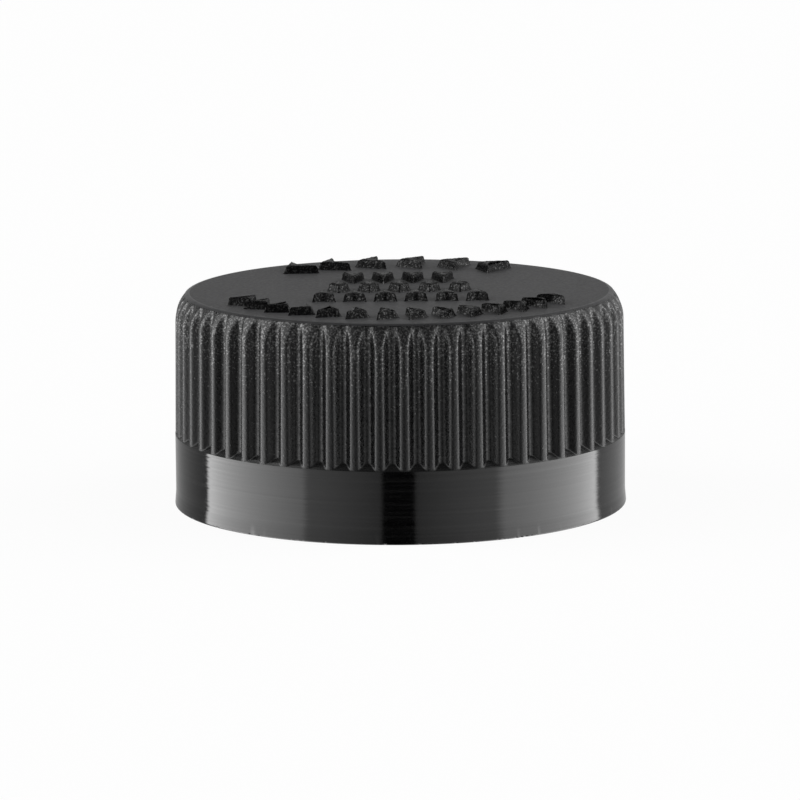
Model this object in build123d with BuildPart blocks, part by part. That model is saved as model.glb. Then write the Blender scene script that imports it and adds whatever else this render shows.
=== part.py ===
# Two-piece child-resistant screw cap for a vial or bottle, standing on its open end.
# An outer shell with a fluted grip turns freely round an inner threaded cap. Pressing the
# shell down brings two rings of teeth together, and only then does the inner cap turn too.
# A foam liner lies loose in the inner cap and seals on the neck's mouth.
# Millimetres, +Z up, with the origin at the centre of the outer shell's foot.
import os
from math import radians, tan

from build123d import *

# Inner cap: sized from the neck that it screws on to
neck_bore_diameter = 32.5  # at the root of the thread
inner_wall = 1.1
inner_height = 13.15  # from its rim to its flat top
inner_top_thickness = 1.3
inner_chamfer = 0.8  # round the top edge
mouth_lead_in = 0.4  # chamfer that guides the neck in
flange_width = 0.25  # how far the flange at the rim stands out from the wall
flange_height = 1.2

# Liner, and the bead that keeps it from dropping out
liner_thickness = 1.0
liner_side_clearance = 0.3
liner_end_clearance = 0.05
liner_bead_depth = 0.5
liner_bead_height = 0.6

# Outer shell: skirt, crown and foot
turning_clearance = 0.3  # between the flange and the skirt's bore
skirt_wall = 1.5  # at the smooth band
crown_thickness = 1.3
top_edge_inset = 1.15  # from the grip's outside to the crease round the flat top
top_edge_chamfer = 0.5  # at that crease, where the flutes run out
shoulder_height = 2.35
shoulder_bend_depth = 1.35  # the shoulder's middle, below the flat top
shoulder_bend_inset = 0.28  # and in from the grip's outside
grip_draft_angle = 0.75
band_height = 6.15  # smooth band under the grip
foot_flare = 0.1
foot_flare_height = 1.2

# Fluted grip
flute_count = 58
flute_depth = 0.69
flute_floor_width = 0.6
flute_mouth_width = 1.44
flute_draft_angle = 1.2  # how far the flutes lean in towards the top
ledge_height = 0.6  # slope from a flute's floor out to the band
flute_cut_margin = 0.1  # how far the cut runs on past the grip's skin and under the ledge

# Snap bead near the foot, which holds the inner cap in
seat_height = 1.4
seat_width = 0.75
seat_play = 0.05

# Drive teeth: one ring on the inner cap, one under the crown
tooth_count = 12
tooth_ring_inner_diameter = 23.0
tooth_length = 3.5
tooth_width = 2.6
tooth_crest = 1.4
tooth_height = 1.1
tooth_gap = 0.25  # between the two rings of crests, at rest
tooth_root = 0.4  # how deep a tooth is rooted in its plate

# Raised marks on the flat top: two arcs of arrowheads that point the way the cap unscrews, and a
# press pad in the middle. Angles are counter-clockwise from +X.
mark_height = 0.7
arrowhead_notch = 0.6  # in the back of each arrowhead
front_arc_diameter = 30.0
front_arrow_count = 14
front_first_angle = -150.0
front_span_angle = 120.0
front_arrow_length = 1.9
front_arrow_width = 3.0
back_arc_diameter = 28.0
back_arrow_count = 6
back_first_angle = 55.0
back_span_angle = 75.0
back_arrow_length = 2.6
back_arrow_width = 4.0
pad_back_count = 4  # arrowheads in its back row, pointing to the middle
pad_middle_count = 5  # lozenges in its middle row
pad_front_count = 6  # arrowheads in its front row, pointing to the middle
pad_column_pitch = 2.6
pad_row_pitch = 5.0
pad_mark_length = 3.0
pad_mark_width = 2.1

# Radii
bore_radius = neck_bore_diameter / 2
inner_radius = bore_radius + inner_wall
flange_radius = inner_radius + flange_width
skirt_bore_radius = flange_radius + turning_clearance
grip_radius = skirt_bore_radius + skirt_wall
foot_radius = grip_radius + foot_flare
flute_floor_radius = grip_radius - flute_depth
top_face_radius = grip_radius - top_edge_inset
shoulder_bend_radius = grip_radius - shoulder_bend_inset
seat_radius = skirt_bore_radius - seat_width
liner_radius = bore_radius - liner_side_clearance
liner_bead_radius = bore_radius - liner_bead_depth
tooth_inner_radius = tooth_ring_inner_diameter / 2

# Heights above the foot, from the seat up
inner_foot = seat_height + seat_play
inner_top = inner_foot + inner_height
inner_ceiling = inner_top - inner_top_thickness
liner_top = inner_ceiling - liner_end_clearance
liner_foot = liner_top - liner_thickness
liner_bead_top = liner_foot - liner_end_clearance
liner_bead_foot = liner_bead_top - liner_bead_height
crown_ceiling = inner_top + 2 * tooth_height + tooth_gap
shell_height = crown_ceiling + crown_thickness
shoulder_foot = shell_height - shoulder_height
shoulder_bend_height = shell_height - shoulder_bend_depth
grip_top_radius = grip_radius - (shoulder_foot - band_height) * tan(radians(grip_draft_angle))

os.makedirs("parts", exist_ok=True)

# Outside of the shell: the grip leans in by its draft, the shoulder rolls over in two slopes,
# and a narrow chamfer leads to the crease round the flat top
with BuildSketch(Plane.XZ) as envelope:
    Polygon(
        (0, shell_height),
        (0, 0),
        (foot_radius, 0),
        (grip_radius, foot_flare_height),
        (grip_radius, band_height),
        (grip_top_radius, shoulder_foot),
        (shoulder_bend_radius, shoulder_bend_height),
        (top_face_radius + top_edge_chamfer, shell_height - top_edge_chamfer),
        (top_face_radius, shell_height),
    )

# One flute, with a narrow flat floor and sloped flanks. It leans in, so that the mould draws off,
# and runs out on the top edge's chamfer. Its foot is a ledge that slopes out to the band.
flute_cut_depth = flute_depth + flute_cut_margin
flank_run = (flute_mouth_width - flute_floor_width) / 2 * flute_cut_depth / flute_depth
ledge_inner_radius = flute_floor_radius - flute_cut_margin
ledge_rise = ledge_height * (grip_radius - ledge_inner_radius) / flute_depth
flute_foot_height = band_height - flute_cut_margin
flute_foot_radius = flute_floor_radius + flute_cut_margin * tan(radians(flute_draft_angle))
with BuildPart() as flute:
    with BuildSketch(
        Plane((flute_foot_radius, 0, flute_foot_height)).rotated((0, -flute_draft_angle, 0))
    ):
        Polygon(
            (0, -flute_floor_width / 2),
            (flute_cut_depth, -flute_floor_width / 2 - flank_run),
            (flute_cut_depth, flute_floor_width / 2 + flank_run),
            (0, flute_floor_width / 2),
        )
    extrude(amount=shell_height - flute_foot_height)
    with BuildSketch(Plane.XZ):
        Polygon(
            (ledge_inner_radius, flute_foot_height),
            (grip_radius + flute_cut_margin, flute_foot_height),
            (grip_radius + flute_cut_margin, band_height),
            (grip_radius, band_height),
            (ledge_inner_radius, band_height + ledge_rise),
        )
    revolve(axis=Axis.Z, mode=Mode.SUBTRACT)

# One tooth of each ring, as a radial bar. The upright faces meet when the shell is screwed
# down, clockwise from above. The sloped faces ride over each other when it is turned back
# without being pressed.
tooth_side = tooth_width / 2
with BuildPart() as inner_tooth:
    with BuildSketch(Plane((tooth_inner_radius, 0, inner_top), x_dir=(0, 1, 0), z_dir=(1, 0, 0))):
        Polygon(
            (tooth_side, -tooth_root),
            (tooth_side, tooth_height),
            (tooth_side - tooth_crest, tooth_height),
            (-tooth_side, 0),
            (-tooth_side, -tooth_root),
        )
    extrude(amount=tooth_length)

with BuildPart() as shell_tooth:
    with BuildSketch(
        Plane((tooth_inner_radius, 0, crown_ceiling), x_dir=(0, 1, 0), z_dir=(1, 0, 0))
    ):
        Polygon(
            (-tooth_side, tooth_root),
            (-tooth_side, -tooth_height),
            (tooth_crest - tooth_side, -tooth_height),
            (tooth_side, 0),
            (tooth_side, tooth_root),
        )
    extrude(amount=tooth_length)


# An arrowhead that points along +Y, with a notch in its back
def arrowhead(length, width, rotation=0):
    Polygon(
        (-width / 2, -length / 2),
        (0, arrowhead_notch - length / 2),
        (width / 2, -length / 2),
        (0, length / 2),
        rotation=rotation,
    )


with BuildSketch(Plane.XY.offset(shell_height)) as marks:
    with PolarLocations(
        front_arc_diameter / 2,
        front_arrow_count,
        start_angle=front_first_angle,
        angular_range=front_span_angle,
        endpoint=True,
    ):
        arrowhead(front_arrow_length, front_arrow_width)
    with PolarLocations(
        back_arc_diameter / 2,
        back_arrow_count,
        start_angle=back_first_angle,
        angular_range=back_span_angle,
        endpoint=True,
    ):
        arrowhead(back_arrow_length, back_arrow_width)
    with Locations((0, pad_row_pitch)):
        with GridLocations(pad_column_pitch, pad_row_pitch, pad_back_count, 1):
            arrowhead(pad_mark_length, pad_mark_width, rotation=180)
    with GridLocations(pad_column_pitch, pad_row_pitch, pad_middle_count, 1):
        Polygon(
            (-pad_mark_width / 2, 0),
            (0, -pad_mark_length / 2),
            (pad_mark_width / 2, 0),
            (0, pad_mark_length / 2),
        )
    with Locations((0, -pad_row_pitch)):
        with GridLocations(pad_column_pitch, pad_row_pitch, pad_front_count, 1):
            arrowhead(pad_mark_length, pad_mark_width)

# Space inside the shell, with the snap bead near the foot and its lead-in below
with BuildSketch(Plane.XZ) as hollow:
    Polygon(
        (0, 0),
        (skirt_bore_radius, 0),
        (seat_radius, seat_height),
        (skirt_bore_radius, seat_height),
        (skirt_bore_radius, crown_ceiling),
        (0, crown_ceiling),
    )

with BuildPart() as outer_shell:
    revolve(envelope.sketch, axis=Axis.Z)
    with PolarLocations(0, flute_count):
        add(flute.part, mode=Mode.SUBTRACT)
    revolve(hollow.sketch, axis=Axis.Z, mode=Mode.SUBTRACT)
    with PolarLocations(0, tooth_count):
        add(shell_tooth.part)
    extrude(marks.sketch, amount=mark_height)

with BuildPart() as inner_cap:
    with BuildSketch(Plane.XZ) as inner_section:
        Polygon(
            (0, inner_top),
            (inner_radius, inner_top),
            (inner_radius, inner_foot + flange_height),
            (flange_radius, inner_foot + flange_height),
            (flange_radius, inner_foot),
            (bore_radius + mouth_lead_in, inner_foot),
            (bore_radius, inner_foot + mouth_lead_in),
            (bore_radius, liner_bead_foot),
            (liner_bead_radius, liner_bead_top),
            (bore_radius, liner_bead_top),
            (bore_radius, inner_ceiling),
            (0, inner_ceiling),
        )
        chamfer(inner_section.vertices().group_by(Axis.Y)[-1].sort_by(Axis.X)[-1], inner_chamfer)
    revolve(axis=Axis.Z)
    # Set half a pitch round from the crown's teeth, so that the rings drop into mesh
    with PolarLocations(0, tooth_count, start_angle=180 / tooth_count):
        add(inner_tooth.part)

with BuildPart() as liner:
    with BuildSketch(Plane.XY.offset(liner_foot)):
        Circle(liner_radius)
    extrude(amount=liner_thickness)

outer_shell.part.label = "outer_shell"
export_step(outer_shell.part, "parts/outer_shell.step")
inner_cap.part.label = "inner_cap"
export_step(inner_cap.part, "parts/inner_cap.step")
liner.part.label = "liner"
export_step(liner.part, "parts/liner.step")
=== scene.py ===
# The looks of a push-and-turn vial cap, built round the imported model: a fluted outer shell with
# raised marks, a threaded inner cap and a foam liner, each made of closed numpy surfaces.
import math

import bpy
import numpy as np
from mathutils import Matrix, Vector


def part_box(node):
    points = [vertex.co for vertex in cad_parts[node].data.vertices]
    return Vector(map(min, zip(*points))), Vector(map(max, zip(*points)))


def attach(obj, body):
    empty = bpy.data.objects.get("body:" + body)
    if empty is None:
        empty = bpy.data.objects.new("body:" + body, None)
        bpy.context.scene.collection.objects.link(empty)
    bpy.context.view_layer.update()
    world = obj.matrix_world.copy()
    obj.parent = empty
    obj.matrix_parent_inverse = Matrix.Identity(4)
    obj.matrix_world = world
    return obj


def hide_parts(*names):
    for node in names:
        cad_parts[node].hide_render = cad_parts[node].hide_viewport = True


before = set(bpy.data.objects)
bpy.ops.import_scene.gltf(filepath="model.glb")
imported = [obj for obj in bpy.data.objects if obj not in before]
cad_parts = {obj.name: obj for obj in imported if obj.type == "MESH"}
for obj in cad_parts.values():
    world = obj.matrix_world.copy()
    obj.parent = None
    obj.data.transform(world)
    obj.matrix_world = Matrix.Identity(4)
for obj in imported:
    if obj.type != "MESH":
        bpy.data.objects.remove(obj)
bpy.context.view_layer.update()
mm = 0.001
shellHigh = np.array(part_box("outer_shell")[1]) / mm
innerLow, innerHigh = (np.array(corner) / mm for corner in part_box("inner_cap"))
linerLow, linerHigh = (np.array(corner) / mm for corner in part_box("liner"))
print("frame loaded:", ", ".join(sorted(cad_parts)))

# A surface is a dictionary: its points in mm, and its faces as pairs of an index array, with
# one row for each face, and the finish of those faces, a material's place in the piece's list.


# A profile through corners (radius, height, rounding). Each rounding is an arc that touches
# both sides, from rounding * tan(half the turn) before the corner to as far behind it.
def roundedProfile(corners, steps=4):
    corners = np.array(corners, float)
    points = [corners[:1, :2]]
    for before, corner, after in zip(corners[:-2], corners[1:-1], corners[2:]):
        into = (corner[:2] - before[:2]) / np.linalg.norm(corner[:2] - before[:2])
        out = (after[:2] - corner[:2]) / np.linalg.norm(after[:2] - corner[:2])
        turn = math.atan2(into[0] * out[1] - into[1] * out[0], into @ out)
        rounding = corner[2]
        if rounding == 0:
            points.append(corner[None, :2])
            continue
        start = corner[:2] - into * rounding * math.tan(abs(turn) / 2)
        side = np.array([-into[1], into[0]]) * math.copysign(rounding, turn)
        ahead = np.array([side[1], -side[0]])
        angle = np.linspace(0, turn, steps + 1)[:, None]
        points.append(start + side - side * np.cos(angle) + ahead * np.sin(angle))
    points.append(corners[-1:, :2])
    return np.concatenate(points)


# Angles of a number of columns, evenly round the axis.
def evenAngles(columns):
    return np.arange(columns) * 2 * math.pi / columns


# A closed turned body. Row i is a ring at height z[i], with radius r[i, j] at angle[j]. The rows
# run from the outside's pole on the axis down, round the foot and up to the inside's pole.
def turnedSurface(r, z, angle, finish):
    height = np.broadcast_to(z[:, None], r.shape)
    rings = np.stack([r * np.cos(angle), r * np.sin(angle), height], 2)[1:-1]
    points = np.concatenate([rings.reshape(-1, 3), [[0, 0, z[0]], [0, 0, z[-1]]]])
    index = np.arange(len(points) - 2).reshape(rings.shape[:2])
    beside = np.roll(index, -1, 1)
    walls = np.stack([index[:-1], index[1:], beside[1:], beside[:-1]], 2).reshape(-1, 4)
    firstPole = np.full(len(angle), len(points) - 2)
    cap = np.stack([firstPole, index[0], beside[0]], 1)
    base = np.stack([index[-1], firstPole + 1, beside[-1]], 1)
    finish = np.broadcast_to(finish, (len(z) - 1, len(angle)))
    faces = [(cap, finish[0]), (walls, finish[1:-1].ravel()), (base, finish[-1])]
    return {"points": points, "faces": faces}


# The same for a profile that is equally round at every height, with one finish.
def roundSurface(profile, columns):
    radii = np.repeat(profile[:, :1], columns, 1)
    return turnedSurface(radii, profile[:, 1], evenAngles(columns), 0)


# A straight-sided outline carried up through levels (inset, height): each corner moves inwards
# along the sum of its two sides' normals, divided by 1 + their dot product, but by no less than
# the least divisor, so that sharp tips don't move too far. Each level has the same number of
# points, and averaging each point with its neighbours softens the corners.
def raisedSurface(corners, levels, spacing, softening, finish, leastDivisor=0.6):
    corners = np.array(corners, float)
    sides = np.roll(corners, -1, 0) - corners
    lengths = np.linalg.norm(sides, axis=1, keepdims=True)
    inward = np.stack([-sides[:, 1], sides[:, 0]], 1) / lengths
    before = np.roll(inward, 1, 0)
    divisor = np.maximum(1 + (before * inward).sum(1, keepdims=True), leastDivisor)
    mitre = (before + inward) / divisor
    counts = np.maximum(1, np.round(lengths[:, 0] / spacing)).astype(int)
    side = np.repeat(np.arange(len(corners)), counts)
    along = np.concatenate([np.arange(count) / count for count in counts])[:, None]
    rings = []
    for inset, height in levels:
        moved = corners + mitre * inset
        ring = moved[side] * (1 - along) + np.roll(moved, -1, 0)[side] * along
        for _ in range(softening):
            ring = (np.roll(ring, 1, 0) + 2 * ring + np.roll(ring, -1, 0)) / 4
        rings.append(np.column_stack([ring, np.full(len(ring), height)]))
    points = np.concatenate(rings)
    index = np.arange(len(points)).reshape(len(levels), -1)
    beside = np.roll(index, -1, 1)
    walls = np.stack([index[:-1], beside[:-1], beside[1:], index[1:]], 2).reshape(-1, 4)
    faces = [(walls, finish), (index[-1:], finish), (index[:1, ::-1], finish)]
    return {"points": points, "faces": faces}


# A closed ridge: the section's points (out, up) are carried round the axis. At each step they
# stand at radius + out * fullness and height + up, turned by that step's angle.
def carriedSurface(section, angle, radius, height, fullness, finish):
    out = radius + section[:, 0] * fullness[:, None]
    up = height[:, None] + section[:, 1]
    points = np.stack([out * np.cos(angle[:, None]), out * np.sin(angle[:, None]), up], 2)
    index = np.arange(points.size // 3).reshape(points.shape[:2])
    beside = np.roll(index, -1, 1)
    walls = np.stack([index[:-1], index[1:], beside[1:], beside[:-1]], 2).reshape(-1, 4)
    faces = [(walls, finish), (index[:1], finish), (index[-1:, ::-1], finish)]
    return {"points": points.reshape(-1, 3), "faces": faces}


# A surface shifted along x and y, and then turned about the axis.
def placed(surface, degrees, shift=(0, 0)):
    c, s = math.cos(math.radians(degrees)), math.sin(math.radians(degrees))
    x, y, z = surface["points"].T
    x, y = x + shift[0], y + shift[1]
    return {"points": np.stack([c * x - s * y, s * x + c * y, z], 1), "faces": surface["faces"]}


# One mesh object from surfaces: its points at their true place, and its object at the origin.
# Edges that turn by more than the crease angle, in degrees, stay sharp.
def meshPiece(name, surfaces, materials, creaseAngle=38):
    starts = np.cumsum([0] + [len(surface["points"]) for surface in surfaces])
    faces = []
    for surface, start in zip(surfaces, starts):
        faces += [(corners + start, finish) for corners, finish in surface["faces"]]
    totals = np.concatenate([np.full(len(corners), corners.shape[1]) for corners, _ in faces])
    loops = np.concatenate([corners.ravel() for corners, _ in faces])
    finishes = np.concatenate([np.broadcast_to(finish, len(corners)) for corners, finish in faces])
    mesh = bpy.data.meshes.new(name)
    mesh.vertices.add(starts[-1])
    mesh.vertices.foreach_set("co", np.concatenate([s["points"] for s in surfaces]).ravel() * mm)
    mesh.loops.add(len(loops))
    mesh.loops.foreach_set("vertex_index", loops)
    mesh.polygons.add(len(totals))
    mesh.polygons.foreach_set("loop_start", np.cumsum(totals) - totals)
    mesh.polygons.foreach_set("loop_total", totals)
    for material in materials:
        mesh.materials.append(material)
    mesh.polygons.foreach_set("material_index", finishes.astype(np.int32))
    mesh.update(calc_edges=True)
    mesh.validate()
    mesh.shade_smooth()
    mesh.set_sharp_from_angle(angle=math.radians(creaseAngle))
    piece = bpy.data.objects.new(name, mesh)
    bpy.context.scene.collection.objects.link(piece)
    mesh.calc_loop_triangles()
    print(name, "has", len(mesh.loop_triangles), "triangles")
    return piece


# A node with its inputs by name or number: another node's output is linked, and a plain value
# is set on the socket itself.
def addNode(tree, kind, inputs=None, **settings):
    node = tree.nodes.new(kind)
    for key, value in settings.items():
        setattr(node, key, value)
    for key, value in (inputs or {}).items():
        if isinstance(value, bpy.types.NodeSocket):
            tree.links.new(value, node.inputs[key])
        else:
            node.inputs[key].default_value = value
    return node


# Noise whose grains have a size in mm, in Object coordinates stretched along x, y and z.
def grain(tree, size, detail=2.0, stretch=(1, 1, 1)):
    place = addNode(tree, "ShaderNodeTexCoord").outputs["Object"]
    scale = [factor / (size * mm) for factor in stretch]
    place = addNode(tree, "ShaderNodeMapping", {"Vector": place, "Scale": scale}).outputs[0]
    inputs = {"Vector": place, "Scale": 1, "Detail": detail}
    return addNode(tree, "ShaderNodeTexNoise", inputs).outputs[0]


noiseRange = (0.3, 0.7)          # where most of a noise lies
plainNoiseRange = (0.35, 0.65)   # and of one with little detail


# A value between low and high, moved in step to between newLow and newHigh and kept there.
def ranged(tree, value, low, high, newLow, newHigh):
    inputs = {"Value": value, 1: low, 2: high, 3: newLow, 4: newHigh}
    return addNode(tree, "ShaderNodeMapRange", inputs).outputs[0]


# One sum, product or angle of two values.
def maths(tree, operation, first, second=0.0):
    return addNode(tree, "ShaderNodeMath", {0: first, 1: second}, operation=operation).outputs[0]


# The first colour where the share is 0, the second where it is 1, and mixed between.
def mixedColour(tree, share, first, second):
    inputs = {0: share, 6: (*first, 1), 7: (*second, 1)}
    return addNode(tree, "ShaderNodeMix", inputs, data_type="RGBA").outputs[2]


# A value at each height in mm: low below the two heights, high above them, and a slope between.
def byHeight(tree, heights, low, high):
    place = addNode(tree, "ShaderNodeTexCoord").outputs["Object"]
    height = addNode(tree, "ShaderNodeSeparateXYZ", {0: place}).outputs["Z"]
    return ranged(tree, height, heights[0] * mm, heights[1] * mm, low, high)


# A Principled material with one relief in its normals, whose depth is in mm. Where the mirror's
# share is 1, the surface reflects the light in its own colour, as a facet of the grain does.
def plasticMaterial(name, colour, roughness, relief, depth, gloss=0.5, mirror=None):
    material = bpy.data.materials.new(name)
    material.use_nodes = True
    tree = material.node_tree
    tree.nodes.clear()
    bump = addNode(tree, "ShaderNodeBump", {"Height": relief(tree), "Distance": depth * mm})
    inputs = {
        "Base Color": colour(tree),
        "Roughness": roughness(tree),
        "Normal": bump.outputs[0],
        "Specular IOR Level": gloss,
        "Metallic": mirror(tree) if mirror else 0.0,
    }
    shader = addNode(tree, "ShaderNodeBsdfPrincipled", inputs)
    addNode(tree, "ShaderNodeOutputMaterial", {"Surface": shader.outputs[0]})
    return material


# A finish without glints: its colour drifts to the cloud's over the cloud's range of one noise,
# its roughness drifts with a second noise, and its relief is a fine grain.
def evenMaterial(name, look):
    def colour(tree):
        share = ranged(tree, grain(tree, look["cloudSize"]), *look["cloudRange"], 0, 1)
        return mixedColour(tree, share, look["colour"], look["cloud"])

    def roughness(tree):
        return ranged(tree, grain(tree, look["smearSize"]), *noiseRange, *look["roughness"])

    def relief(tree):
        return grain(tree, look["grain"], look["detail"])

    return plasticMaterial(name, colour, roughness, relief, look["depth"])


# A finish with glints: their share is 0 on the body and 1 where a fine noise is above its cut.
# With a rise, the noise is lifted with height first, so that there are more of them higher up.
def glintingMaterial(name, look):
    def sparkle(tree):
        noise = grain(tree, look["glintSize"])
        if "glintRise" in look:
            lift = byHeight(tree, look["glintRise"], 0, look["glintLift"])
            noise = maths(tree, "ADD", noise, lift)
        return ranged(tree, noise, look["glintCut"], look["glintCut"] + look["glintEdge"], 0, 1)

    def colour(tree):
        return mixedColour(tree, sparkle(tree), look["colour"], look["glint"])

    def roughness(tree):
        plain = grain(tree, look["grain"], detail=1)
        return ranged(tree, plain, *plainNoiseRange, *look["roughness"])

    def relief(tree):
        return grain(tree, look["grain"], look["detail"])

    return plasticMaterial(name, colour, roughness, relief, look["depth"], look["gloss"], sparkle)


# A polished finish with faint lines round it: noise drawn out sideways into thin rings.
def turnedMaterial(name, look):
    def lines(tree):
        return grain(tree, look["lineHeight"], stretch=look["lineStretch"])

    def colour(tree):
        share = ranged(tree, lines(tree), *look["lineRange"], 0, 1)
        return mixedColour(tree, share, look["colour"], look["line"])

    def roughness(tree):
        smears = grain(tree, look["smearSize"], detail=3, stretch=look["smearStretch"])
        return ranged(tree, smears, *noiseRange, *look["roughness"])

    return plasticMaterial(name, colour, roughness, lines, look["depth"])


# The outer shell

shellLook = {
    "footFlare": 0.1,         # mm, as all lengths here
    "footFlareHeight": 1.2,
    "bandHeight": 6.15,
    "gripDraft": 0.75,        # degrees
    "shoulderHeight": 2.35,
    "topEdgeInset": 1.15,
    "markHeight": 0.7,
    "skirtWall": 1.5,
    "crownThickness": 1.3,
    "seatHeight": 1.4,
    "seatWidth": 0.75,
    "fluteCount": 58,
    "fluteDepth": 0.69,
    "fluteFloor": 0.6,        # width of a flute's floor
    "fluteMouth": 1.44,       # and of its mouth at the grip's outside
    "fluteDraft": 1.2,        # degrees by which the flutes lean in
    "ledgeHeight": 0.6,
    "ribSoftness": 0.2,       # width over which a rib's edge is rounded
    "floorSoftness": 0.16,
    "floorHollow": 0.1,       # width over which the middle of a flute's floor is rounded
    "creaseRounding": 0.6,
    "flareRounding": 3.0,
    "footRounding": 0.12,
    "mouthRounding": 0.08,
    "seatRounding": 0.04,
    "ceilingRounding": 0.35,
    "nickDepth": 0.1,         # of the small nicks in the foot's outer edge
    "nickHeight": 0.14,
    "nickShare": 0.14,        # of the columns round the foot that have a nick
    "nickSeed": 11,
}
finishTop, finishGrip, finishBand, finishMark, finishInside, finishLedge = range(6)

# Where the shell's surface has its columns, which crowd at the flutes' flanks, and its rows
shellMesh = {
    "across": (0, 0.2, 0.32, 0.42, 0.52, 0.61, 0.7, 0.8, 0.92),   # from a flute's middle
    "flatShares": (0, 0.35, 0.7),   # of the flat top's radius
    "edgeShare": 0.9,         # and the last of them, before the crease's rounding
    "arcRows": 17,
    "gripRows": 9,
    "ledgeRows": 14,
    "ledgeMargin": 0.15,      # how far those rows reach above the ledge
    "ledgeFoot": 0.02,        # and where they end above the band
    "bandTopRows": (0.03, 0.2),   # below the band's top
    "seatTop": 0.5,           # one row this far above the snap bead
    "underFoot": 0.5,         # how far in from the grip's outside the band's rows may start
    "slack": 0.01,            # for comparing heights
}


# Radius of the grip: a soft minimum of the envelope and the flutes, and then no less than the
# ledge. A flute's floor leans in with height, and across the flute the radius grows with a soft
# |t| beyond the floor's half width.
def flutedRadius(look, envelope, z, angle, gripRadius):
    pitch = 2 * math.pi / look["fluteCount"]
    t = ((angle + pitch / 2) % pitch - pitch / 2) * gripRadius
    beyond = np.sqrt(t**2 + look["floorHollow"] ** 2) - look["fluteFloor"] / 2
    climb = 0.5 * (beyond + np.sqrt(beyond**2 + look["floorSoftness"] ** 2))
    slope = look["fluteDepth"] / ((look["fluteMouth"] - look["fluteFloor"]) / 2)
    above = (z[:, None] - look["bandHeight"]) * math.tan(math.radians(look["fluteDraft"]))
    flute = gripRadius - look["fluteDepth"] - above + climb * slope
    gap = np.sqrt((envelope[:, None] - flute) ** 2 + look["ribSoftness"] ** 2)
    ribbed = 0.5 * (envelope[:, None] + flute - gap)
    ledge = gripRadius - (z - look["bandHeight"]) * look["fluteDepth"] / look["ledgeHeight"]
    return np.maximum(ribbed, ledge[:, None]), ribbed < ledge[:, None]


# The shoulder's arc as points (radius, height), from just outside the crease down to the grip. It
# meets the grip in line with its draft: its radius is the chord squared, divided by twice the
# chord's part along the line from the grip to the arc's centre.
def shoulderArc(gripTop, shoulderFoot, crease, topHeight, draft, rows):
    chord = np.array([crease - gripTop, topHeight - shoulderFoot])
    inward = np.array([-math.cos(draft), -math.sin(draft)])
    arcRadius = chord @ chord / (2 * chord @ inward)
    centre = np.array([gripTop, shoulderFoot]) + inward * arcRadius
    topAngle = math.atan2(topHeight - centre[1], crease - centre[0])
    angle = np.linspace(topAngle, draft, rows)[1:, None]
    return centre + arcRadius * np.hstack([np.cos(angle), np.sin(angle)])


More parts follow.
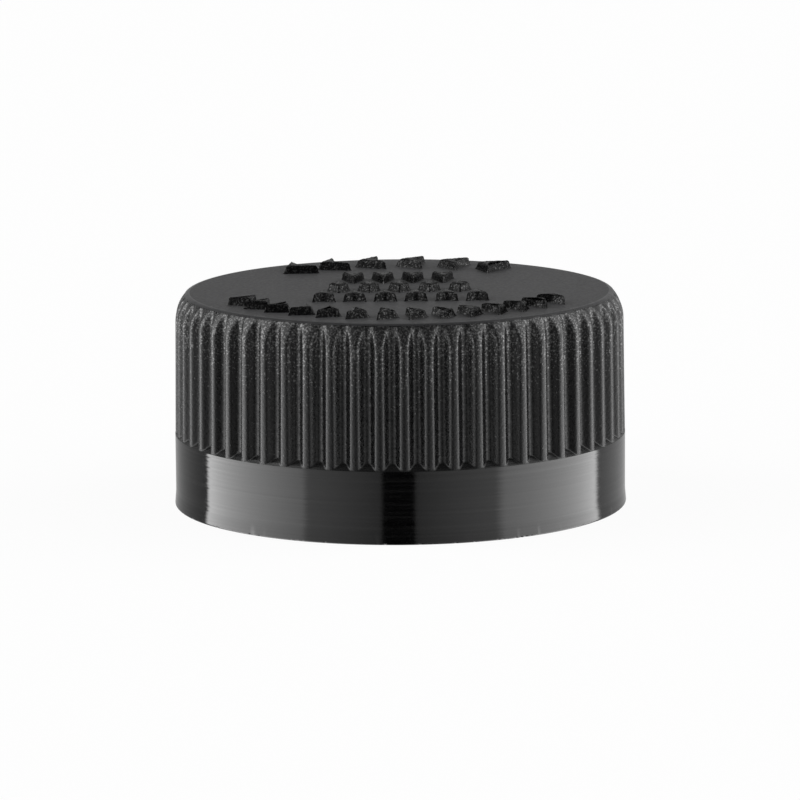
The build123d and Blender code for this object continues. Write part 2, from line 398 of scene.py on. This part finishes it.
# The shell's body: one profile turned round the axis, from the flat top's middle over the
# shoulder and down the grip to the foot, and up the inside to the ceiling's middle. The rows of
# the shoulder and the grip are fluted. At the foot's outer edge each column is pushed in by its
# nick: 1 - (1 - chance) / share of the full depth, with a random chance from 0 to 1, and none
# where that is below 0.
def shellBody(look, division):
    footRadius = shellHigh[0]
    gripRadius = footRadius - look["footFlare"]
    bandHeight = look["bandHeight"]
    topHeight = shellHigh[2] - look["markHeight"]
    shoulderFoot = topHeight - look["shoulderHeight"]
    draft = math.radians(look["gripDraft"])
    gripTop = gripRadius - (shoulderFoot - bandHeight) * math.tan(draft)
    crease = gripRadius - look["topEdgeInset"]
    boreRadius = gripRadius - look["skirtWall"]
    ceiling = topHeight - look["crownThickness"]
    seatRadius, seatHeight = boreRadius - look["seatWidth"], look["seatHeight"]
    nickTop = look["nickHeight"]
    nickRadius = footRadius - look["footFlare"] * nickTop / look["footFlareHeight"]

    flat = np.array([[crease * share, topHeight] for share in division["flatShares"]])
    arc = shoulderArc(gripTop, shoulderFoot, crease, topHeight, draft, division["arcRows"])
    edge = roundedProfile(
        [
            (crease * division["edgeShare"], topHeight, 0),
            (crease, topHeight, look["creaseRounding"]),
            (*arc[0], 0),
        ]
    )[:-1]
    ledgeTop = bandHeight + look["ledgeHeight"] + division["ledgeMargin"]
    ledgeFoot = bandHeight + division["ledgeFoot"]
    upperRows = np.linspace(shoulderFoot, ledgeTop, division["gripRows"])[1:]
    lowerRows = np.linspace(ledgeTop, ledgeFoot, division["ledgeRows"])[1:]
    gripZ = np.concatenate([upperRows, lowerRows])
    grip = np.stack([gripRadius - (gripZ - bandHeight) * math.tan(draft), gripZ], 1)
    band = roundedProfile(
        [
            (gripRadius, bandHeight, 0),
            *[(gripRadius, bandHeight - below, 0) for below in division["bandTopRows"]],
            (gripRadius, look["footFlareHeight"], look["flareRounding"]),
            (nickRadius, nickTop, 0),
            (footRadius, 0, look["footRounding"]),
            (boreRadius, 0, look["mouthRounding"]),
            (seatRadius, seatHeight, look["seatRounding"]),
            (boreRadius, seatHeight, look["seatRounding"]),
            (boreRadius, seatHeight + division["seatTop"], 0),
            (boreRadius, ceiling, look["ceilingRounding"]),
            (0, ceiling, 0),
        ],
        steps=3,
    )
    r, z = np.concatenate([flat, edge, arc, grip, band]).T

    across = np.array(division["across"]) / gripRadius
    across = np.concatenate([-across[:0:-1], across, [math.pi / look["fluteCount"]]])
    angle = (evenAngles(look["fluteCount"])[:, None] + across).ravel()
    radius = np.repeat(r[:, None], len(angle), 1)
    fluteStart = len(flat) + len(edge)
    fluted = slice(fluteStart, fluteStart + len(arc) + len(grip))
    radius[fluted], ledged = flutedRadius(look, r[fluted], z[fluted], angle, gripRadius)
    chance = np.random.default_rng(look["nickSeed"]).random(len(angle))
    nicks = look["nickDepth"] * np.clip(1 - (1 - chance) / look["nickShare"], 0, 1)
    radius[(z < nickTop - division["slack"]) & (r > footRadius - nickTop)] -= nicks

    # The crease's own rounding keeps the smooth finish of the inside
    finish = np.full((len(z) - 1, len(angle)), finishInside)
    finish[: len(flat) + 1] = finishTop
    finish[fluted] = np.where(ledged, finishLedge, finishGrip)
    low = z[:-1] <= bandHeight + division["slack"]
    outer = r[:-1] > gripRadius - division["underFoot"]
    finish[low & outer] = finishBand
    return turnedSurface(radius, z, angle, finish)


markLook = {
    "frontHeads": {
        "ringRadius": 15.0,
        "count": 14,
        "first": -150.0,
        "span": 120.0,
        "length": 1.9,
        "width": 3.0,
    },
    "backHeads": {
        "ringRadius": 14.0,
        "count": 6,
        "first": 55.0,
        "span": 75.0,
        "length": 2.6,
        "width": 4.0,
    },
    "headNotch": 0.6,
    "padRows": (4, 5, 6),     # arrowheads at the back, lozenges in the middle, arrowheads in front
    "columnPitch": 2.6,
    "rowPitch": 5.0,
    "padLength": 3.0,
    "padWidth": 2.1,
    # Levels of a mark from its root up, as (inset, height): above the flat top, shares of the
    # taper and of the height, and what is added to the taper and to the top's height
    "rootLevels": ((-0.12, -0.1), (-0.08, 0), (0, 0.08)),
    "sideLevels": (0.35, 0.6, 0.8),
    "topLevels": ((0.04, -0.09), (0.13, -0.04), (0.3, -0.03)),
    "taper": 0.2,             # how much a mark narrows on each side
    "spacing": 0.12,          # between the points of its outline
    "softening": 5,           # times that each of them is averaged with its neighbours
    "roughness": 0.014,       # spread of the points of its worn sides and top
    "roughFrom": 0.1,         # height above the flat top from which they are worn
    "seed": 4,
}


# Arrowheads round the edge and a pad of three rows in the middle, as outlines that run counter-
# clockwise. Each is a head along +Y or a lozenge, with its turn about the axis and its shift.
def markOutlines(look):
    def head(length, width):
        half, back = width / 2, -length / 2
        return [(-half, back), (0, back + look["headNotch"]), (half, back), (0, -back)]

    outlines = []
    for row in (look["frontHeads"], look["backHeads"]):
        for degrees in np.linspace(row["first"], row["first"] + row["span"], row["count"]):
            outlines.append((head(row["length"], row["width"]), degrees, (row["ringRadius"], 0)))

    half, reach = look["padWidth"] / 2, look["padLength"] / 2
    inwards = head(look["padLength"], look["padWidth"])
    lozenge = [(-half, 0), (0, -reach), (half, 0), (0, reach)]
    rows = zip(look["padRows"], (inwards, lozenge, inwards), (180, 0, 0), (-1, 0, -1))
    for count, corners, degrees, row in rows:
        for column in (np.arange(count) - (count - 1) / 2) * look["columnPitch"]:
            outlines.append((corners, degrees, (column, row * look["rowPitch"])))
    return outlines


# Each mark narrows upwards, and its points above the flat top are moved at random to roughen it.
def raisedMarks(look):
    top, height = shellHigh[2], shellLook["markHeight"]
    foot, taper = top - height, look["taper"]
    levels = [(inset, foot + rise) for inset, rise in look["rootLevels"]]
    levels += [(taper * share, foot + height * share) for share in look["sideLevels"]]
    levels += [(taper + inset, top + rise) for inset, rise in look["topLevels"]]
    random = np.random.default_rng(look["seed"])
    marks = []
    for corners, degrees, shift in markOutlines(look):
        mark = raisedSurface(corners, levels, look["spacing"], look["softening"], finishMark)
        loose = mark["points"][:, 2:] > foot + look["roughFrom"]
        moves = random.normal(0, look["roughness"], mark["points"].shape) * loose
        mark["points"] = np.minimum(mark["points"] + moves, (np.inf, np.inf, top))
        marks.append(placed(mark, degrees, shift))
    return marks


toothLook = {
    "count": 12,
    "innerRadius": 11.5,
    "length": 3.5,
    "width": 2.6,
    "crest": 1.4,
    "height": 1.1,
    "root": 0.4,
}


# A ring of saw-toothed bars on a plate. The section is a rectangle with one upper corner cut
# back to the plate by a slope; mirror is -1 for the ring that hangs down and faces the other.
def toothRing(look, plate, mirror, phase, finish):
    half = look["width"] / 2
    section = mirror * np.array(
        [
            (half, -look["root"]),
            (half, look["height"]),
            (half - look["crest"], look["height"]),
            (-half, 0),
            (-half, -look["root"]),
        ]
    )
    near = np.arange(len(section))
    far = near + len(section)
    ends = look["innerRadius"] + np.array([0, look["length"]])
    ends = [np.column_stack([np.full(len(section), x), section + (0, plate)]) for x in ends]
    walls = np.stack([near, np.roll(near, -1), np.roll(far, -1), far], 1)
    faces = [(walls, finish), (near[None, ::-1], finish), (far[None], finish)]
    bar = {"points": np.concatenate(ends), "faces": faces}
    turns = np.arange(look["count"]) * 360 / look["count"] + phase
    return [placed(bar, degrees) for degrees in turns]


# Spark-eroded top: an even fine grain
topFinish = {
    "colour": (0.036, 0.036, 0.037),
    "cloud": (0.052, 0.052, 0.053),
    "cloudSize": 0.5,
    "cloudRange": (0.35, 0.75),
    "roughness": (0.52, 0.64),
    "smearSize": 0.3,
    "grain": 0.16,
    "detail": 1,
    "depth": 0.02,
}

# Coarse, sparkling grain on the ribs and flutes, and stronger towards the shoulder
gripFinish = {
    "colour": (0.003, 0.003, 0.0033),
    "glint": (0.11, 0.11, 0.11),
    "glintSize": 0.16,
    "glintCut": 0.68,
    "glintEdge": 0.07,
    "glintRise": (10.5, 16.8),   # heights between which the glints grow in number
    "glintLift": 0.165,
    "roughness": (0.42, 0.26),
    "grain": 0.22,
    "detail": 3,
    "depth": 0.032,
    "gloss": 0.38,
}

# Polished band with faint turning lines, and the same but duller on the ledges above it
bandFinish = {
    "colour": (0.002, 0.002, 0.0022),
    "line": (0.008, 0.008, 0.008),
    "lineHeight": 0.22,
    "lineRange": (0.45, 0.75),   # of the noise, over which the colour turns to the line's
    "lineStretch": (0.01, 0.01, 1),
    "roughness": (0.05, 0.1),
    "smearSize": 1.5,
    "smearStretch": (1, 1, 6),
    "depth": 0.02,
}
ledgeFinish = {**bandFinish, "roughness": (0.2, 0.3)}

# Rough marks: near black, with glints
markFinish = {
    "colour": (0.002, 0.002, 0.0022),
    "glint": (0.045, 0.045, 0.045),
    "glintSize": 0.15,
    "glintCut": 0.54,
    "glintEdge": 0.07,
    "roughness": (0.42, 0.2),
    "grain": 0.2,
    "detail": 2,
    "depth": 0.03,
    "gloss": 0.08,
}

# Smooth moulded inside
insideFinish = {
    "colour": (0.018, 0.018, 0.019),
    "cloud": (0.0252, 0.0252, 0.0266),
    "cloudSize": 0.8,
    "cloudRange": (0, 1),
    "roughness": (0.26, 0.38),
    "smearSize": 0.6,
    "grain": 0.25,
    "detail": 2,
    "depth": 0.004,
}


# The outer shell as one piece: its body, the raised marks and the teeth under the crown.
def buildShell():
    ceiling = shellHigh[2] - shellLook["markHeight"] - shellLook["crownThickness"]
    surfaces = [shellBody(shellLook, shellMesh)] + raisedMarks(markLook)
    surfaces += toothRing(toothLook, ceiling, -1, 0, finishInside)
    materials = [
        evenMaterial("matte_top", topFinish),
        glintingMaterial("sparkling_grip", gripFinish),
        turnedMaterial("polished_band", bandFinish),
        glintingMaterial("rough_marks", markFinish),
        evenMaterial("moulded_inside", insideFinish),
        turnedMaterial("dull_ledge", ledgeFinish),
    ]
    shell = meshPiece("outer_shell_skin", surfaces, materials)
    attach(shell, "outer")
    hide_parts("outer_shell")


# The inner cap

innerLook = {
    "wall": 1.1,
    "flangeWidth": 0.25,
    "flangeHeight": 1.2,
    "topChamfer": 0.8,
    "topThickness": 1.3,
    "mouthLeadIn": 0.4,
    "beadDepth": 0.5,
    "beadHeight": 0.6,
    "beadDrop": 0.05,         # below the liner
    "topRounding": 0.1,
    "flangeRounding": 0.08,
    "mouthRounding": 0.06,
    "beadFootRounding": 0.1,
    "beadRounding": 0.05,
    "ceilingRounding": 0.2,
    "columns": 232,
}


# The inner cap's body: one profile turned round the axis, from its top's middle down the outside
# to the flange, round the mouth, and up past the liner's bead to the ceiling's middle.
def innerBody(look):
    flangeRadius = innerHigh[0]
    radius = flangeRadius - look["flangeWidth"]
    bore = radius - look["wall"]
    foot, top = innerLow[2], innerHigh[2] - toothLook["height"]
    ceiling = top - look["topThickness"]
    beadTop = linerLow[2] - look["beadDrop"]
    shelf = foot + look["flangeHeight"]
    profile = roundedProfile(
        [
            (0, top, 0),
            (toothLook["innerRadius"], top, 0),
            (radius - look["topChamfer"], top, look["topRounding"]),
            (radius, top - look["topChamfer"], look["topRounding"]),
            (radius, shelf, look["flangeRounding"]),
            (flangeRadius, shelf, look["flangeRounding"]),
            (flangeRadius, foot, look["flangeRounding"]),
            (bore + look["mouthLeadIn"], foot, look["mouthRounding"]),
            (bore, foot + look["mouthLeadIn"], look["mouthRounding"]),
            (bore, beadTop - look["beadHeight"], look["beadFootRounding"]),
            (bore - look["beadDepth"], beadTop, look["beadRounding"]),
            (bore, beadTop, look["beadRounding"]),
            (bore, ceiling, look["ceilingRounding"]),
            (bore / 2, ceiling, 0),
            (0, ceiling, 0),
        ]
    )
    return roundSurface(profile, look["columns"])


threadLook = {
    "pitch": 4.233,           # 6 threads per inch
    "depth": 1.15,
    "rootWidth": 2.5,
    "crestWidth": 0.8,
    "crestRounding": 0.15,
    "rooted": 0.12,           # how deep its root sits in the wall
    "start": 1.9,             # the first turn's middle, above the rim
    "turns": 1.6,
    "runOut": 28.0,           # degrees over which each end fades in
    "leastShare": 0.02,       # of that fade, so that the ends keep a little depth
    "first": -60.0,
    "steps": 300,
}


# A right-hand thread inside the bore: a trapezoid carried up a helix by one pitch a turn. Its
# fullness rises from next to nothing at each end as 3 s^2 - 2 s^3, where s is the share.
def threadRidge(look):
    bore = innerHigh[0] - innerLook["flangeWidth"] - innerLook["wall"]
    root, crest = look["rootWidth"] / 2, look["crestWidth"] / 2
    section = roundedProfile(
        [
            (look["rooted"], root, 0),
            (0, root, 0),
            (-look["depth"], crest, look["crestRounding"]),
            (-look["depth"], -crest, look["crestRounding"]),
            (0, -root, 0),
            (look["rooted"], -root, 0),
        ]
    )
    turned = np.linspace(0, look["turns"] * 360, look["steps"])
    toEnd = np.minimum(turned, turned[-1] - turned)
    share = np.clip(toEnd / look["runOut"], look["leastShare"], 1)
    fullness = share**2 * (3 - 2 * share)
    height = innerLow[2] + look["start"] + turned / 360 * look["pitch"]
    return carriedSurface(section, np.radians(look["first"] + turned), bore, height, fullness, 0)


# Satin black, a little smoother than the shell's inside
innerFinish = {
    "colour": (0.020, 0.020, 0.021),
    "cloud": (0.030, 0.030, 0.0315),
    "cloudSize": 1.2,
    "cloudRange": (0, 1),
    "roughness": (0.22, 0.34),
    "smearSize": 0.9,
    "grain": 0.35,
    "detail": 2,
    "depth": 0.004,
}


# The inner cap as one piece: its body, the thread and the teeth on its flat top.
def buildInnerCap():
    plate = innerHigh[2] - toothLook["height"]
    surfaces = [innerBody(innerLook), threadRidge(threadLook)]
    surfaces += toothRing(toothLook, plate, 1, 180 / toothLook["count"], 0)
    inner = meshPiece("inner_cap_skin", surfaces, [evenMaterial("satin_inner", innerFinish)])
    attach(inner, "inner")
    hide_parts("inner_cap")


# The liner

linerLook = {"edgeRounding": 0.12, "columns": 180}

# White foam with a skin of fine open cells
linerFinish = {
    "colour": (0.84, 0.84, 0.81),
    "cloud": (0.74, 0.74, 0.71),
    "cloudSize": 0.3,
    "cloudRange": (0.45, 0.7),
    "roughness": (0.62, 0.8),
    "smearSize": 0.5,
    "grain": 0.22,
    "detail": 3,
    "depth": 0.03,
}


# The liner: a disc with rounded edges, turned round the axis.
def buildLiner():
    radius, rounding = linerHigh[0], linerLook["edgeRounding"]
    foot, top = linerLow[2], linerHigh[2]
    profile = roundedProfile(
        [
            (0, top, 0),
            (radius / 2, top, 0),
            (radius, top, rounding),
            (radius, foot, rounding),
            (radius / 2, foot, 0),
            (0, foot, 0),
        ]
    )
    disc = roundSurface(profile, linerLook["columns"])
    liner = meshPiece("liner_skin", [disc], [evenMaterial("liner_foam", linerFinish)])
    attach(liner, "seal")
    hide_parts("liner")


# Studio and camera

studio = {
    "peak": 5.2,              # level of the brightest part of the side panels
    # (degrees round from the front towards +X, share of the peak): a dark gap at the camera, an
    # inner and a brighter outer panel on each side, and a dim back
    "levels": [
        (-180, 0.09),
        (-118, 0.045),
        (-116, 1.0),
        (-52, 0.37),
        (-49, 0.19),
        (-11, 0.075),
        (-10, 0),
        (6, 0),
        (7, 0.075),
        (48, 0.19),
        (53, 0.42),
        (116.5, 0.86),
        (120, 0.095),
        (180, 0.09),
    ],
    "fromBelow": 1.25,        # times the level for light from below, and as much less from above
    "tiltRange": (-0.4, 0.4),    # heights of direction between which it changes over
    "panelTop": (0.7, 0.95),  # heights of direction between which the panels give way
    "overhead": 0.12,
    "backdrop": 1.0,          # level that the camera sees
    "floorSize": 2000.0,      # mm
    "floorColour": 0.9,
    "floorGlow": 0.94,        # share of the backdrop's white in what the camera sees of the floor
}


# Light from the world by direction: the angle round the vertical axis picks the level from a
# ramp with straight stretches, and higher up that level gives way to the overhead one.
def buildWorld(look):
    world = bpy.data.worlds.new("studio")
    bpy.context.scene.world = world
    world.use_nodes = True
    tree = world.node_tree
    tree.nodes.clear()
    direction = addNode(tree, "ShaderNodeTexCoord").outputs["Generated"]
    axes = addNode(tree, "ShaderNodeSeparateXYZ", {0: direction})
    toFront = maths(tree, "MULTIPLY", axes.outputs["Y"], -1.0)
    around = maths(tree, "ARCTAN2", axes.outputs["X"], toFront)
    place = ranged(tree, around, -math.pi, math.pi, 0, 1)
    ramp = addNode(tree, "ShaderNodeValToRGB", {"Fac": place})
    stops = ramp.color_ramp.elements
    first, *between, last = look["levels"]
    for degrees, share in between:
        stops.new((degrees + 180) / 360).color = (share, share, share, 1)
    for stop, (_, share) in ((stops[0], first), (stops[-1], last)):
        stop.color = (share, share, share, 1)
    below, above = look["peak"] * look["fromBelow"], look["peak"] * (2 - look["fromBelow"])
    tilt = ranged(tree, axes.outputs["Z"], *look["tiltRange"], below, above)
    level = maths(tree, "MULTIPLY", ramp.outputs["Color"], tilt)
    height = ranged(tree, axes.outputs["Z"], *look["panelTop"], 0, 1)
    mixed = addNode(tree, "ShaderNodeMix", {0: height, 2: level, 3: look["overhead"]}).outputs[0]
    camera = addNode(tree, "ShaderNodeLightPath").outputs["Is Camera Ray"]
    seen = addNode(tree, "ShaderNodeMix", {0: camera, 2: mixed, 3: look["backdrop"]}).outputs[0]
    light = addNode(tree, "ShaderNodeBackground", {"Color": (1, 1, 1, 1), "Strength": seen})
    addNode(tree, "ShaderNodeOutputWorld", {"Surface": light.outputs[0]})


# A square floor, matte for the light and nearly as white as the backdrop for the camera. It is
# left out of what the cap's gloss mirrors.
def buildFloor(look):
    half = look["floorSize"] / 2 * mm
    corners = [(-half, -half, 0), (half, -half, 0), (half, half, 0), (-half, half, 0)]
    mesh = bpy.data.meshes.new("floor")
    mesh.from_pydata(corners, [], [(0, 1, 2, 3)])
    floor = bpy.data.objects.new("floor", mesh)
    bpy.context.scene.collection.objects.link(floor)
    material = bpy.data.materials.new("white_floor")
    material.use_nodes = True
    tree = material.node_tree
    tree.nodes.clear()
    matte = addNode(tree, "ShaderNodeBsdfDiffuse", {"Color": (*[look["floorColour"]] * 3, 1)})
    white = {"Color": (1, 1, 1, 1), "Strength": look["backdrop"]}
    glow = addNode(tree, "ShaderNodeEmission", white)
    camera = addNode(tree, "ShaderNodeLightPath").outputs["Is Camera Ray"]
    share = maths(tree, "MULTIPLY", camera, look["floorGlow"])
    inputs = {0: share, 1: matte.outputs[0], 2: glow.outputs[0]}
    shader = addNode(tree, "ShaderNodeMixShader", inputs)
    addNode(tree, "ShaderNodeOutputMaterial", {"Surface": shader.outputs[0]})
    mesh.materials.append(material)
    floor.visible_glossy = False


cameraPlace = {
    "azimuth": -1.1,          # degrees to the right of the front
    "elevation": 10.06,
    "distance": 414.0,        # mm from the aim point, which is on the axis
    "aimHeight": 8.74,
    "focalLength": 215.96,
    "sensorWidth": 36.0,
    "roll": -0.4,
    "nearest": 10.0,          # mm from the camera, where its view starts
}


# The camera looks at the aim point from its azimuth and elevation, and is rolled a little.
def buildCamera(look):
    azimuth, elevation = math.radians(look["azimuth"]), math.radians(look["elevation"])
    data = bpy.data.cameras.new("camera")
    data.lens = look["focalLength"]
    data.sensor_width = look["sensorWidth"]
    data.clip_start = look["nearest"] * mm
    camera = bpy.data.objects.new("camera", data)
    bpy.context.scene.collection.objects.link(camera)
    turn = Matrix.Rotation(azimuth, 4, "Z") @ Matrix.Rotation(math.pi / 2 - elevation, 4, "X")
    back = Matrix.Translation((0, 0, look["distance"] * mm))
    roll = Matrix.Rotation(math.radians(look["roll"]), 4, "Z")
    camera.matrix_world = Matrix.Translation((0, 0, look["aimHeight"] * mm)) @ turn @ back @ roll
    bpy.context.scene.camera = camera


buildShell()
buildInnerCap()
buildLiner()
print("pieces built")
buildWorld(studio)
buildFloor(studio)
buildCamera(cameraPlace)
bpy.context.scene.view_settings.view_transform = "Standard"
print("studio and camera placed")
